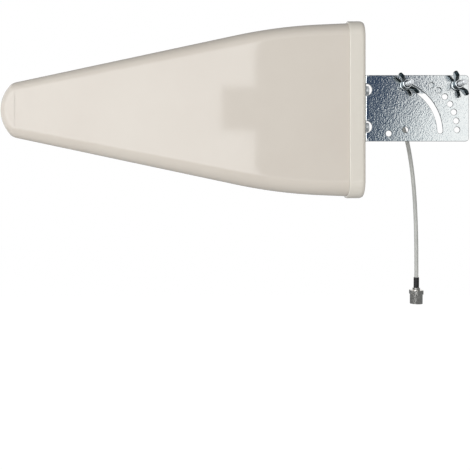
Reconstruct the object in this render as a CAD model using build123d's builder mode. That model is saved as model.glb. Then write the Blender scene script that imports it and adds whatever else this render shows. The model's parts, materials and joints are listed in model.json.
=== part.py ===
from build123d import *
import os
from math import atan, cos, degrees, pi, radians, sin, tan

# A directional antenna in a flat tapered housing, with a bent-steel bracket and a U-bolt clamp.
# Millimetres. +X runs from the nose to the bracket, +Z is up, and the viewer stands on the -Y side.
# The origin is the centre of the round tube that the clamp grips.

# Clamp
clamped_radius = 21.2
leg_spacing = 61.0
leg_radius = 3.0
leg_tip_y = -62.3
leg_end_chamfer = 0.8
thread_clearance = 0.05
clamp_hole_clearance = 0.4
half_spacing = leg_spacing / 2

# Bracket plate
plate_thickness = 2.0
plate_front_y = -30.0
plate_right_x = 44.5
plate_height = 78.4
plate_corner = 4.0
bend_inner_radius = 2.0
flange_width = 20.5
hole_radius = 3.5
slot_half_width = 3.3
pivot_low = (-half_spacing, -53.3)
pivot_side = (-50.3, -57.7)
tilt_angles = range(0, 61, 10)
slot_start_angle = 3.0
plate_back_y = plate_front_y + plate_thickness

# Housing outline in side view, measured back from the tip of the nose and out from the boom axis
boom_z = -27.8
housing_rear_x = -78.0
housing_length = 440.0
nose_setback = 15.2
nose_half_height = 33.2
collar_half_height = 105.1
collar_length = 19.0
knee_to_collar = 84.0
knee_drop = 3.6
knee_share = 0.61
nose_corner_radius = 16.0
nose_half_depth = 18.0
rear_half_depth = 32.0
long_edge_radius = 13.0
wall = 2.5
nose_x = housing_rear_x - housing_length
collar_x = housing_rear_x - collar_length
collar_setback = housing_length - collar_length
knee_setback = collar_setback - knee_to_collar
knee_half_height = collar_half_height - knee_drop
rear_slope = knee_drop / knee_to_collar
taper_slope = (knee_half_height - nose_half_height) / (knee_setback - nose_setback)
knee_turn = abs(atan(taper_slope) - atan(rear_slope))
knee_radius = knee_share * knee_to_collar / tan(knee_turn / 2)

# Back cap and gasket
cap_floor = 4.0
cap_proud = 2.3
cap_edge_radius = 4.0
cap_lip_radius = 0.8
cap_fit_gap = 0.2
gasket_thickness = 2.0
cap_floor_x = housing_rear_x - cap_floor
shell_end_x = cap_floor_x - gasket_thickness
cap_half_height = collar_half_height + cap_proud
cap_half_depth = rear_half_depth + cap_proud

# Bolts that hold the bracket
bolt_y = -19.0
bolt_spacing = 44.0
bolt_radius = 3.0
bolt_head_flats = 10.0
bolt_head_height = 4.0
bolt_length = 17.0
bolt_turns = (6.0, 30.0)
bolt_hole_radius = 3.3
notch_radius = 7.0
notch_depth = 4.8
insert_radius = 4.0
insert_length = 12.0
boss_wall = 3.5
boss_extra = 3.0

# Booms, dipoles and their supports
boom_size = 10.0
boom_wall = 1.0
boom_gap = 4.0
boom_nose_gap = 14.0
feed_step = 2.0
boom_y = (boom_size + boom_gap) / 2
left_boom_front_x = nose_x + boom_nose_gap
right_boom_front_x = left_boom_front_x + feed_step
boom_seat = 14.0
dipole_count = 12
dipole_radius = 1.5
dipole_ratio = 0.885
dipole_knee_gap = 7.5
dipole_cap_gap = 28.0
dipole_front_gap = 9.4
longest_dipole_reach = knee_half_height - dipole_knee_gap
longest_dipole_x = collar_x - dipole_cap_gap
shortest_dipole_x = left_boom_front_x + dipole_front_gap
apex_distance = (longest_dipole_x - shortest_dipole_x) / (1 - dipole_ratio ** (dipole_count - 1))
part_clearance = 0.05
socket_clearance = 0.1
spacer_length = 8.0
spacer_half_height = 14.0
spacer_wall_gap = 0.3
spacer_pairs = (dipole_count // 3, dipole_count - 2)

# Block that holds the booms in the cap
block_length = 24.0
block_half_width = 15.0
block_half_height = 9.0
ear_length = 10.0
ear_low_y = -6.0
ear_high_y = 14.0
ear_half_height = 24.0
block_screw_y = 4.0
block_screw_spacing = 36.0
block_screw_radius = 2.0
block_screw_length = 13.0
block_x = cap_floor_x - block_length
boom_rear_x = block_x + boom_seat

# Small screws
cap_screw_radius = 1.45
cap_screw_length = 8.0
cap_screw_head_radius = 2.8
cap_screw_setback = 12.0
cap_screw_hole_radius = 1.7
screw_boss_radius = 3.6
pan_head_ratio = 1.8
pan_head_height_ratio = 1.25

# Feed
coax_radius = 2.5
feed_pin_radius = 0.6
link_thickness = 1.0
link_half_height = 3.0
link_overhang = 2.5
strap_thickness = 1.2
strap_length = 8.0
strap_gap = 4.0
strap_screw_length = 3.2
strap_screw_radius = 1.45

# Cable gland on the boom axis that carries the coax
gland_thread_radius = 5.0
gland_thread_length = 10.0
gland_flats = 14.0
gland_hex_length = 5.0
gland_nut_radius = 6.5
gland_nut_length = 7.0
gland_nose_length = 2.0
gland_nose_radius = 4.3
gland_x = housing_rear_x + gland_hex_length + gland_nut_length + gland_nose_length

# Toothed jaw between the plate and the tube
jaw_thickness = 2.0
jaw_half_width = 37.0
jaw_half_height = 10.0
jaw_mouth_angle = 120.0
jaw_mouth_half_width = 24.0
jaw_chamfer = 6.0
tooth_pitch = 3.0
tooth_depth = 1.0

# Washers and wing nuts
washer_thickness = 1.6
washer_radius = 6.0
spring_washer_radius = 5.8
spring_washer_split = 1.4
washer_clearance = 0.2
hub_base_radius = 6.5
hub_top_radius = 5.2
hub_height = 8.0
wing_span = 32.0
wing_height = 17.0
wing_thickness = 4.4
wing_edge_radius = 1.5
wing_corner_radius = 3.5
wing_foot = 1.2
wing_root_drop = 1.2
wing_tip_share = 0.5
wing_top_share = 0.6
left_wing_angle = -46.5
right_wing_angle = -62.4
nut_seat_y = plate_front_y - 2 * washer_thickness

# Free coax: the middle points were picked by eye for its hang, and the ends sit on the gland and connector
coax_route = [
    (gland_x, boom_y, boom_z),
    (-43.5, boom_y, boom_z),
    (-26.0, 17.5, -36.5),
    (-16.0, 28.5, -57.0),
    (-9.2, 33.2, -85.0),
    (-4.6, 34.6, -119.0),
    (-2.2, 34.2, -161.0),
    (-1.5, 33.0, -207.0),
    (-1.9, 32.4, -250.0),
]

coax_bend_share = 0.45

# Coaxial connector
sleeve_radius = 3.4
sleeve_length = 13.0
neck_radius = 4.6
neck_length = 3.0
wrench_flats = 16.0
wrench_length = 5.0
barrel_radius = 7.94
barrel_length = 12.0
mouth_radius = 5.9
mouth_depth = 8.0
core_radius = 4.1
core_depth = 6.0
contact_radius = 1.55
contact_bore_radius = 0.85
contact_bore_depth = 5.0
contact_length = 8.0

# Planes used by several pieces
side_plane = Plane(origin=(nose_x, 0, boom_z), x_dir=(1, 0, 0), z_dir=(0, -1, 0))
plate_plane = Plane.XZ.offset(-plate_front_y)
rear_plane = Plane(origin=(housing_rear_x, 0, boom_z), x_dir=(0, 1, 0), z_dir=(1, 0, 0))
cap_screw_x = housing_rear_x - cap_screw_setback
screw_head_depth = cap_screw_head_radius - cap_screw_radius


def across(x):
    # The plane that faces along the booms at this X
    return Plane(origin=(x, 0, boom_z), x_dir=(0, 1, 0), z_dir=(1, 0, 0))


def half_depth(x):
    # Half the depth of the housing at this X
    share = (x - nose_x) / collar_setback
    return nose_half_depth + (rear_half_depth - nose_half_depth) * share


def half_height(x):
    # Half the height of the housing at an X behind its knee
    return collar_half_height + rear_slope * (x - collar_x)


def housing_form(inset, rear_x):
    # The tapered form, moved inwards by inset all round and cut off square at rear_x
    end_x = housing_rear_x + cap_floor
    end_setback = end_x - nose_x
    end_half_height = half_height(end_x)
    with BuildPart() as form:
        with BuildSketch(side_plane) as outline:
            with BuildLine():
                ThreePointArc(
                    (nose_setback, -nose_half_height), (0, 0), (nose_setback, nose_half_height)
                )
                Polyline(
                    (nose_setback, nose_half_height),
                    (knee_setback, knee_half_height),
                    (end_setback, end_half_height),
                    (end_setback, -end_half_height),
                    (knee_setback, -knee_half_height),
                    (nose_setback, -nose_half_height),
                )
            make_face()
            columns = outline.vertices().group_by(Axis.X)
            fillet(columns[1], radius=knee_radius)
            nose_corners = outline.vertices().sort_by(Axis.X)[:2]
            fillet(nose_corners, radius=nose_corner_radius)
            if inset:
                offset(amount=-inset, kind=Kind.INTERSECTION)
        extrude(amount=2 * rear_half_depth, both=True)
        with BuildSketch(Plane.XY.offset(boom_z)):
            with BuildLine():
                Polyline(
                    (nose_x, -half_depth(nose_x)),
                    (end_x, -half_depth(end_x)),
                    (end_x, half_depth(end_x)),
                    (nose_x, half_depth(nose_x)),
                    close=True,
                )
            make_face()
            if inset:
                offset(amount=-inset, kind=Kind.INTERSECTION)
        extrude(amount=2 * cap_half_height, both=True, mode=Mode.INTERSECT)
        broad = form.faces().sort_by(Axis.Y)
        rims = broad[0].edges() + broad[-1].edges()
        rims = [e for e in rims if e.center().X < housing_rear_x]
        fillet(rims, radius=long_edge_radius - inset)
        split(bisect_by=Plane.YZ.offset(rear_x), keep=Keep.BOTTOM)
    return form.part


def screw_plane(side):
    # The plane on the cap's edge that faces into the housing, above for 1 and below for -1
    return Plane(origin=(cap_screw_x, 0, boom_z + side * cap_half_height), z_dir=(0, 0, -side))


def save(builder, label):
    builder.part.label = label
    export_step(builder.part, f"parts/{label}.step")


os.makedirs("parts", exist_ok=True)

# Housing shell, open at the rear, with two screw bosses under the collar
shell_form = housing_form(0, shell_end_x)
cavity_form = housing_form(wall, shell_end_x)
boss_top = half_height(cap_screw_x) - wall / 2
with BuildPart() as radome_shell:
    add(shell_form)
    add(cavity_form, mode=Mode.SUBTRACT)
    for side in (-1, 1):
        with Locations((cap_screw_x, 0, boom_z + side * (boss_top - cap_screw_length / 2))):
            Cylinder(radius=screw_boss_radius, height=cap_screw_length)
            Cylinder(
                radius=cap_screw_radius + part_clearance,
                height=cap_screw_length + 2 * wall,
                mode=Mode.SUBTRACT,
            )
save(radome_shell, "radome_shell")

# Back cap: a skirted cover with bosses for the bracket bolts
bolt_places = [(bolt_y, side * bolt_spacing / 2) for side in (1, -1)]
block_screw_places = [(block_screw_y, side * block_screw_spacing / 2) for side in (1, -1)]
with BuildPart() as back_cap:
    with BuildSketch(across(collar_x)):
        RectangleRounded(
            2 * cap_half_depth, 2 * cap_half_height, radius=long_edge_radius + cap_proud
        )
    extrude(amount=collar_length)
    fillet(back_cap.faces().sort_by(Axis.X)[-1].edges(), radius=cap_edge_radius)
    fillet(back_cap.faces().sort_by(Axis.X)[0].edges(), radius=cap_lip_radius)
    add(housing_form(-cap_fit_gap, cap_floor_x), mode=Mode.SUBTRACT)
    with BuildSketch(across(cap_floor_x)):
        with Locations(*bolt_places):
            Circle(insert_radius + boss_wall)
    extrude(amount=-(insert_length + boss_extra))
    with BuildSketch(across(cap_floor_x)):
        with Locations(*bolt_places):
            Circle(insert_radius)
    extrude(amount=-insert_length, mode=Mode.SUBTRACT)
    with BuildSketch(across(housing_rear_x)):
        with Locations(*bolt_places):
            Circle(bolt_hole_radius)
        with Locations(*block_screw_places):
            Circle(block_screw_radius + part_clearance)
        with Locations((boom_y, 0)):
            Circle(gland_thread_radius + part_clearance)
    extrude(amount=-cap_floor, mode=Mode.SUBTRACT)
    for side in (1, -1):
        with BuildSketch(screw_plane(side)):
            Circle(cap_screw_head_radius + part_clearance)
        extrude(amount=screw_head_depth, taper=45, mode=Mode.SUBTRACT)
        with BuildSketch(screw_plane(side)):
            Circle(cap_screw_hole_radius)
        extrude(amount=cap_screw_length, mode=Mode.SUBTRACT)
save(back_cap, "back_cap")

# Gasket between the end of the shell and the floor of the cap
with BuildPart() as cap_gasket:
    add(housing_form(0, cap_floor_x))
    add(housing_form(wall, cap_floor_x), mode=Mode.SUBTRACT)
    split(bisect_by=Plane.YZ.offset(shell_end_x), keep=Keep.TOP)
save(cap_gasket, "cap_gasket")

# Two countersunk screws, above and below, that hold the cap on the shell
screw_tip = cap_half_height - half_height(cap_screw_x) + cap_screw_length
with BuildPart() as cap_screws:
    for side in (1, -1):
        with BuildSketch(screw_plane(side)):
            Circle(cap_screw_head_radius)
        extrude(amount=screw_head_depth, taper=45)
        with BuildSketch(screw_plane(side)):
            Circle(cap_screw_radius)
        extrude(amount=screw_tip)
        with BuildSketch(screw_plane(side)):
            RegularPolygon(radius=cap_screw_radius, side_count=6)
        extrude(amount=screw_head_depth / 2, mode=Mode.SUBTRACT)
save(cap_screws, "cap_screws")

# Brass inserts in the cap's bosses
with BuildPart() as bolt_inserts:
    with BuildSketch(across(cap_floor_x)):
        with Locations(*bolt_places):
            Circle(insert_radius)
            Circle(bolt_radius + part_clearance, mode=Mode.SUBTRACT)
    extrude(amount=-insert_length)
save(bolt_inserts, "bolt_inserts")

# Bracket plate: a web with the clamp and tilt holes, bent back against the cap
plate_low_z = boom_z - plate_height / 2
flange_edge_y = plate_front_y + flange_width
notch_x = housing_rear_x + plate_thickness / 2
slot_end_angle = degrees(atan(-pivot_side[1] / (-half_spacing - pivot_side[0])))
with BuildLine() as slot_path:
    CenterArc(pivot_side, leg_spacing, slot_start_angle, slot_end_angle - slot_start_angle)
tilt_holes = [
    (pivot_low[0] + leg_spacing * cos(radians(a)), pivot_low[1] + leg_spacing * sin(radians(a)))
    for a in tilt_angles
]
with BuildPart() as bracket_plate:
    with BuildSketch(Plane.XY.offset(plate_low_z)) as fold:
        with BuildLine():
            Polyline(
                (plate_right_x, plate_front_y),
                (plate_right_x, plate_back_y),
                (housing_rear_x + plate_thickness, plate_back_y),
                (housing_rear_x + plate_thickness, flange_edge_y),
                (housing_rear_x, flange_edge_y),
                (housing_rear_x, plate_front_y),
                close=True,
            )
        make_face()
        outer = fold.vertices().sort_by_distance((housing_rear_x, plate_front_y, 0))[0]
        fillet(outer, radius=bend_inner_radius + plate_thickness)
        inner_corner = (housing_rear_x + plate_thickness, plate_back_y, 0)
        fillet(fold.vertices().sort_by_distance(inner_corner)[0], radius=bend_inner_radius)
    extrude(amount=plate_height)
    fillet(
        bracket_plate.edges().filter_by(Axis.Y).group_by(Axis.X)[-1], radius=plate_corner
    )
    fillet(
        bracket_plate.edges().filter_by(Axis.X).group_by(Axis.Y)[-1], radius=plate_corner
    )
    with BuildSketch(plate_plane):
        with Locations(pivot_low, pivot_side, (half_spacing, 0), *tilt_holes):
            Circle(hole_radius)
        SlotArc(slot_path.edges()[0], height=2 * slot_half_width)
    extrude(amount=-plate_thickness, mode=Mode.SUBTRACT)
    with BuildSketch(plate_plane):
        with Locations(*[(notch_x, boom_z + z) for _, z in bolt_places]):
            Circle(notch_radius)
    extrude(amount=-notch_depth, mode=Mode.SUBTRACT)
    with BuildSketch(rear_plane):
        with Locations(*bolt_places):
            Circle(bolt_hole_radius)
    extrude(amount=plate_thickness, mode=Mode.SUBTRACT)
save(bracket_plate, "bracket_plate")

# Hex bolts through the flange into the cap
hex_corner_ratio = 1 / cos(radians(30))
bolt_seat_x = housing_rear_x + plate_thickness
with BuildPart() as bracket_bolts:
    for place, turn in zip(bolt_places, bolt_turns):
        with BuildSketch(across(bolt_seat_x)):
            with Locations(place):
                RegularPolygon(
                    radius=bolt_head_flats / 2 * hex_corner_ratio, side_count=6, rotation=turn
                )
        extrude(amount=bolt_head_height)
        with BuildSketch(across(bolt_seat_x)):
            with Locations(place):
                Circle(bolt_radius)
        extrude(amount=-bolt_length)
save(bracket_bolts, "bracket_bolts")

# Block that joins both booms to the cap
with BuildPart() as boom_mount_block:
    with BuildSketch(across(block_x)):
        Rectangle(2 * block_half_width, 2 * block_half_height)
    extrude(amount=block_length)
    with BuildSketch(across(cap_floor_x)):
        with Locations(((ear_low_y + ear_high_y) / 2, 0)):
            RectangleRounded(ear_high_y - ear_low_y, 2 * ear_half_height, radius=plate_corner)
    extrude(amount=-ear_length)
    with BuildSketch(across(block_x)):
        with Locations((-boom_y, 0), (boom_y, 0)):
            Rectangle(boom_size + 2 * socket_clearance, boom_size + 2 * socket_clearance)
    extrude(amount=boom_seat, mode=Mode.SUBTRACT)
    with BuildSketch(across(cap_floor_x)):
        with Locations(*block_screw_places):
            Circle(block_screw_radius + part_clearance)
    extrude(amount=-ear_length, mode=Mode.SUBTRACT)
    with BuildSketch(across(cap_floor_x)):
        with Locations((boom_y, 0)):
            Circle(coax_radius + socket_clearance)
    extrude(amount=-block_length, mode=Mode.SUBTRACT)
    with BuildSketch(across(cap_floor_x)):
        with Locations((boom_y, 0)):
            Circle(gland_thread_radius + part_clearance)
    extrude(amount=-(gland_thread_length - cap_floor + socket_clearance), mode=Mode.SUBTRACT)
save(boom_mount_block, "boom_mount_block")

with BuildPart() as block_screws:
    with BuildSketch(across(housing_rear_x)):
        with Locations(*block_screw_places):
            Circle(block_screw_radius)
    extrude(amount=-block_screw_length)
    with BuildSketch(across(housing_rear_x)):
        with Locations(*block_screw_places):
            Circle(block_screw_radius * pan_head_ratio)
    extrude(amount=block_screw_radius * pan_head_height_ratio)
    fillet(block_screws.edges().group_by(Axis.X)[-1], radius=block_screw_radius / 2)
save(block_screws, "block_screws")

# Dipoles: one rod up and one rod down, swapping booms from each pair to the next
dipole_reaches = [
    (longest_dipole_reach * dipole_ratio**n, apex_distance * (1 - dipole_ratio**n))
    for n in range(dipole_count)
]
dipole_places = [(longest_dipole_x - back, reach) for reach, back in dipole_reaches]
boom_half = boom_size / 2
rod_root = boom_half - boom_wall


def rod_sides(n):
    # The boom that carries the upper rod of pair n, and the one that carries the lower rod
    upper = boom_y if n % 2 else -boom_y
    return upper, -upper


for n, (x, reach) in enumerate(dipole_places):
    upper_y, lower_y = rod_sides(n)
    with BuildPart() as dipole:
        with BuildSketch(Plane.XY.offset(boom_z + rod_root)):
            with Locations((x, upper_y)):
                Circle(dipole_radius)
        extrude(amount=reach - rod_root)
        with BuildSketch(Plane.XY.offset(boom_z - rod_root)):
            with Locations((x, lower_y)):
                Circle(dipole_radius)
        extrude(amount=-(reach - rod_root))
    save(dipole, f"dipole_{n + 1:02d}")

# Rear strap that joins the booms behind the longest dipole
strap_x = block_x - strap_gap - strap_length / 2
strap_z = boom_z + boom_half
strap_screw_places = [(strap_x, -boom_y), (strap_x, boom_y)]
with BuildPart() as rear_short_strap:
    with BuildSketch(Plane.XY.offset(strap_z)):
        with Locations((strap_x, 0)):
            Rectangle(strap_length, 2 * boom_y + boom_size)
        with Locations(*strap_screw_places):
            Circle(strap_screw_radius + part_clearance, mode=Mode.SUBTRACT)
    extrude(amount=strap_thickness)
save(rear_short_strap, "rear_short_strap")

with BuildPart() as strap_screws:
    with BuildSketch(Plane.XY.offset(strap_z + strap_thickness)):
        with Locations(*strap_screw_places):
            Circle(strap_screw_radius)
    extrude(amount=-strap_screw_length)
    with BuildSketch(Plane.XY.offset(strap_z + strap_thickness)):
        with Locations(*strap_screw_places):
            Circle(strap_screw_radius * pan_head_ratio)
    extrude(amount=strap_screw_radius * pan_head_height_ratio)
save(strap_screws, "strap_screws")


# Booms: square tubes drilled for their rods
def make_boom(side, front_x):
    with BuildPart() as boom:
        with BuildSketch(across(front_x)):
            with Locations((side * boom_y, 0)):
                Rectangle(boom_size, boom_size)
                Rectangle(
                    boom_size - 2 * boom_wall, boom_size - 2 * boom_wall, mode=Mode.SUBTRACT
                )
        extrude(amount=boom_rear_x - front_x)
        for n, (x, _) in enumerate(dipole_places):
            up = 1 if rod_sides(n)[0] * side > 0 else -1
            with Locations((x, side * boom_y, boom_z + up * (boom_half - boom_wall / 2))):
                Cylinder(
                    radius=dipole_radius + part_clearance,
                    height=2 * boom_wall,
                    mode=Mode.SUBTRACT,
                )
        with Locations((strap_x, side * boom_y, boom_z + boom_half - boom_wall / 2)):
            Cylinder(
                radius=strap_screw_radius + part_clearance,
                height=2 * boom_wall,
                mode=Mode.SUBTRACT,
            )
    return boom


boom_left = make_boom(-1, left_boom_front_x)
save(boom_left, "boom_left")
boom_right = make_boom(1, right_boom_front_x)
save(boom_right, "boom_right")


# Spacers that hold the booms apart and centre them in the housing
def make_spacer(after):
    middle_x = (dipole_places[after - 1][0] + dipole_places[after][0]) / 2
    front_x = middle_x - spacer_length / 2
    reach = half_depth(front_x) - wall - spacer_wall_gap
    hole = boom_size + 2 * socket_clearance
    with BuildPart() as spacer:
        with BuildSketch(across(front_x)):
            RectangleRounded(2 * reach, 2 * spacer_half_height, radius=boom_wall)
            with Locations((-boom_y, 0), (boom_y, 0)):
                Rectangle(hole, hole, mode=Mode.SUBTRACT)
        extrude(amount=spacer_length)
    return spacer


for after, label in zip(spacer_pairs, ("boom_spacer_mid", "boom_spacer_front")):
    save(make_spacer(after), label)

# Coax inside the housing, along the right boom's bore to the feed point at the nose
with BuildPart() as feed_cable:
    with BuildSketch(across(right_boom_front_x)):
        with Locations((boom_y, 0)):
            Circle(coax_radius)
    extrude(amount=gland_x - right_boom_front_x)
    with BuildSketch(across(right_boom_front_x)):
        with Locations((boom_y, 0)):
            Circle(feed_pin_radius)
    extrude(amount=left_boom_front_x - link_thickness - right_boom_front_x)
save(feed_cable, "feed_cable")

# Link from the coax's centre wire to the left boom
link_reach = boom_y + boom_half
with BuildPart() as feed_link:
    with BuildSketch(across(left_boom_front_x)):
        with Locations(((boom_y + link_overhang - link_reach) / 2, 0)):
            Rectangle(link_reach + boom_y + link_overhang, 2 * link_half_height)
        with Locations((boom_y, 0)):
            Circle(feed_pin_radius + part_clearance, mode=Mode.SUBTRACT)
    extrude(amount=-link_thickness)
save(feed_link, "feed_link")

# Cable gland
with BuildPart() as cable_gland:
    with BuildSketch(rear_plane):
        with Locations((boom_y, 0)):
            RegularPolygon(radius=gland_flats / 2 * hex_corner_ratio, side_count=6)
    extrude(amount=gland_hex_length)
    with BuildSketch(across(housing_rear_x + gland_hex_length)):
        with Locations((boom_y, 0)):
            Circle(gland_nut_radius)
    extrude(amount=gland_nut_length)
    with BuildSketch(across(gland_x - gland_nose_length)):
        with Locations((boom_y, 0)):
            Circle(gland_nut_radius)
    with BuildSketch(across(gland_x)):
        with Locations((boom_y, 0)):
            Circle(gland_nose_radius)
    loft()
    with BuildSketch(rear_plane):
        with Locations((boom_y, 0)):
            Circle(gland_thread_radius)
    extrude(amount=-gland_thread_length)
    with BuildSketch(across(gland_x)):
        with Locations((boom_y, 0)):
            Circle(coax_radius + part_clearance)
    extrude(
        amount=-(gland_x - housing_rear_x + gland_thread_length), mode=Mode.SUBTRACT
    )
save(cable_gland, "cable_gland")

# U-bolt
bend_y = clamped_radius + leg_radius - half_spacing
with BuildPart() as u_bolt:
    with BuildLine() as rod:
        Line((-half_spacing, leg_tip_y), (-half_spacing, bend_y))
        ThreePointArc(
            (-half_spacing, bend_y), (0, bend_y + half_spacing), (half_spacing, bend_y)
        )
        Line((half_spacing, bend_y), (half_spacing, leg_tip_y))
    with BuildSketch(Plane(origin=rod.line @ 0, z_dir=rod.line % 0)):
        Circle(leg_radius)
    sweep()
    tips = u_bolt.faces().filter_by(GeomType.PLANE).edges()
    chamfer(tips, length=leg_end_chamfer)
save(u_bolt, "u_bolt")

# Mast jaw: a channel on its back, with a toothed V across both flanges
mouth_slope = tan(radians(jaw_mouth_angle / 2))
mouth_apex_y = -clamped_radius / sin(radians(jaw_mouth_angle / 2))
jaw_edge_y = mouth_apex_y + jaw_mouth_half_width / mouth_slope
tooth_total = round(jaw_mouth_half_width / (tooth_pitch * sin(radians(jaw_mouth_angle / 2))))
tooth_run = jaw_mouth_half_width / tooth_total
right_side = [(0, mouth_apex_y)]
for tooth in range(tooth_total):
    foot = (tooth + 0.5) * tooth_run
    root_x = foot + tooth_depth * cos(radians(jaw_mouth_angle / 2))
    root_y = mouth_apex_y + foot / mouth_slope - tooth_depth * sin(radians(jaw_mouth_angle / 2))
    right_side.append((root_x, max(root_y, mouth_apex_y)))
    right_side.append(((tooth + 1) * tooth_run, mouth_apex_y + (tooth + 1) * tooth_run / mouth_slope))
left_side = [(-x, y) for x, y in right_side[:0:-1]]
with BuildPart() as mast_jaw:
    with BuildSketch(Plane.XY.offset(-jaw_half_height)) as side_view:
        with Locations((0, (plate_back_y + jaw_edge_y) / 2)):
            Rectangle(2 * jaw_half_width, jaw_edge_y - plate_back_y)
        chamfer(side_view.vertices().group_by(Axis.Y)[-1], length=jaw_chamfer)
    extrude(amount=2 * jaw_half_height)
    with BuildSketch(Plane.XY.offset(-jaw_half_height)):
        with BuildLine():
            Polyline(*left_side, *right_side, close=True)
        make_face()
    extrude(amount=2 * jaw_half_height, mode=Mode.SUBTRACT)
    inner_half_height = jaw_half_height - jaw_thickness
    inner_y = plate_back_y + jaw_thickness
    with BuildSketch(Plane.XY.offset(-inner_half_height)):
        with Locations((0, (inner_y + jaw_edge_y) / 2)):
            Rectangle(2 * jaw_half_width, jaw_edge_y - inner_y)
    extrude(amount=2 * inner_half_height, mode=Mode.SUBTRACT)
    with BuildSketch(Plane.XZ.offset(-plate_back_y)):
        with Locations((-half_spacing, 0), (half_spacing, 0)):
            Circle(leg_radius + clamp_hole_clearance)
    extrude(amount=-jaw_thickness, mode=Mode.SUBTRACT)
save(mast_jaw, "mast_jaw")

# Washers
leg_places = [(-half_spacing, 0), (half_spacing, 0)]
with BuildPart() as plain_washers:
    with BuildSketch(plate_plane):
        with Locations(*leg_places):
            Circle(washer_radius)
            Circle(leg_radius + washer_clearance, mode=Mode.SUBTRACT)
    extrude(amount=washer_thickness)
save(plain_washers, "plain_washers")

with BuildPart() as spring_washers:
    with BuildSketch(plate_plane.offset(washer_thickness)):
        with Locations(*leg_places):
            Circle(spring_washer_radius)
            Circle(leg_radius + washer_clearance, mode=Mode.SUBTRACT)
    extrude(amount=washer_thickness)
    with BuildSketch(plate_plane.offset(washer_thickness)):
        for x, z in leg_places:
            with Locations((x + (spring_washer_radius + leg_radius) / 2, z)):
                Rectangle(spring_washer_radius, spring_washer_split)
    extrude(amount=washer_thickness, mode=Mode.SUBTRACT)
save(spring_washers, "spring_washers")


# Wing nuts: a tapered hub with two thick ears
def make_wing_nut(x, angle):
    along = (cos(radians(angle)), 0, sin(radians(angle)))
    seat = (x, nut_seat_y, 0)
    wing_plane = Plane(origin=seat, x_dir=along, z_dir=(along[2], 0, -along[0]))
    hub_plane = Plane(origin=seat, x_dir=along, z_dir=(0, -1, 0))
    tip = wing_span / 2
    root_height = hub_height - wing_root_drop
    with BuildPart() as nut:
        with BuildSketch(wing_plane) as ears:
            with BuildLine():
                Polyline(
                    (0, wing_foot),
                    (hub_base_radius, wing_foot),
                    (tip, wing_height * wing_tip_share),
                    (tip, wing_height),
                    (tip * wing_top_share, wing_height),
                    (hub_top_radius, root_height),
                    (0, root_height),
                    close=True,
                )
            make_face()
            fillet(ears.vertices().group_by(Axis.X)[-1], radius=wing_corner_radius)
            mirror(about=Plane.YZ)
        extrude(amount=wing_thickness / 2, both=True)
        flanks = nut.faces().filter_by(Axis(seat, wing_plane.z_dir))
        fillet(flanks.edges(), radius=wing_edge_radius)
        with BuildSketch(hub_plane):
            Circle(hub_base_radius)
        hub_taper = degrees(atan((hub_base_radius - hub_top_radius) / hub_height))
        extrude(amount=hub_height, taper=hub_taper)
        with BuildSketch(hub_plane):
            Circle(leg_radius + thread_clearance)
        extrude(amount=wing_height, mode=Mode.SUBTRACT)
    return nut


save(make_wing_nut(-half_spacing, left_wing_angle), "wing_nut_left")
save(make_wing_nut(half_spacing, right_wing_angle), "wing_nut_right")

# Free coax: straight runs joined by arcs as large as the runs allow
route = [Vector(*point) for point in coax_route]
runs = [b - a for a, b in zip(route, route[1:])]
coax_radii = []
for before, after in zip(runs, runs[1:]):
    half_turn = radians(before.get_angle(after)) / 2
    coax_radii.append(coax_bend_share * min(before.length, after.length) / tan(half_turn))
with BuildPart() as coax_pigtail:
    with BuildLine() as lay:
        FilletPolyline(*route, radius=coax_radii)
    with BuildSketch(Plane(origin=lay.line @ 0, z_dir=lay.line % 0)):
        Circle(coax_radius)
    sweep()
save(coax_pigtail, "coax_pigtail")
print("coax radii", [round(r, 1) for r in coax_radii])
coax_length = sum(edge.length for edge in lay.edges())
volume_share = coax_pigtail.part.volume / (pi * coax_radius**2 * coax_length)
print("coax length", round(coax_length, 2), "volume over section times length", round(volume_share, 5))

# Connector, along the coax's last run
plug_axis = runs[-1].normalized()
plug_start = route[-1]


def plug_plane(distance):
    return Plane(origin=plug_start + plug_axis * distance, z_dir=plug_axis)


with BuildPart() as connector_sleeve:
    with BuildSketch(plug_plane(-sleeve_length)):
        Circle(sleeve_radius)
        Circle(coax_radius + part_clearance, mode=Mode.SUBTRACT)
    extrude(amount=sleeve_length)
save(connector_sleeve, "connector_sleeve")

wrench_start = neck_length
barrel_start = neck_length + wrench_length
barrel_end = barrel_start + barrel_length
with BuildPart() as connector_body:
    with BuildSketch(plug_plane(0)):
        Circle(neck_radius)
    extrude(amount=neck_length)
    with BuildSketch(plug_plane(wrench_start)):
        RegularPolygon(radius=wrench_flats / 2 * hex_corner_ratio, side_count=6)
    extrude(amount=wrench_length)
    with BuildSketch(plug_plane(barrel_start)):
        Circle(barrel_radius)
    extrude(amount=barrel_length)
    with BuildSketch(plug_plane(barrel_end)):
        Circle(mouth_radius)
    extrude(amount=-mouth_depth, mode=Mode.SUBTRACT)
    with BuildSketch(plug_plane(barrel_end)):
        Circle(core_radius)
    extrude(amount=-(mouth_depth + core_depth), mode=Mode.SUBTRACT)
save(connector_body, "connector_body")

core_start = barrel_end - mouth_depth - core_depth
with BuildPart() as connector_insulator:
    with BuildSketch(plug_plane(core_start)):
        Circle(core_radius - part_clearance)
        Circle(contact_radius + part_clearance, mode=Mode.SUBTRACT)
    extrude(amount=core_depth)
save(connector_insulator, "connector_insulator")

with BuildPart() as connector_contact:
    with BuildSketch(plug_plane(core_start)):
        Circle(contact_radius)
    extrude(amount=contact_length)
    with BuildSketch(plug_plane(core_start + contact_length)):
        Circle(contact_bore_radius)
    extrude(amount=-contact_bore_depth, mode=Mode.SUBTRACT)
save(connector_contact, "connector_contact")
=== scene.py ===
import json
from math import atan2, cos, pi, radians, sin, tan

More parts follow.
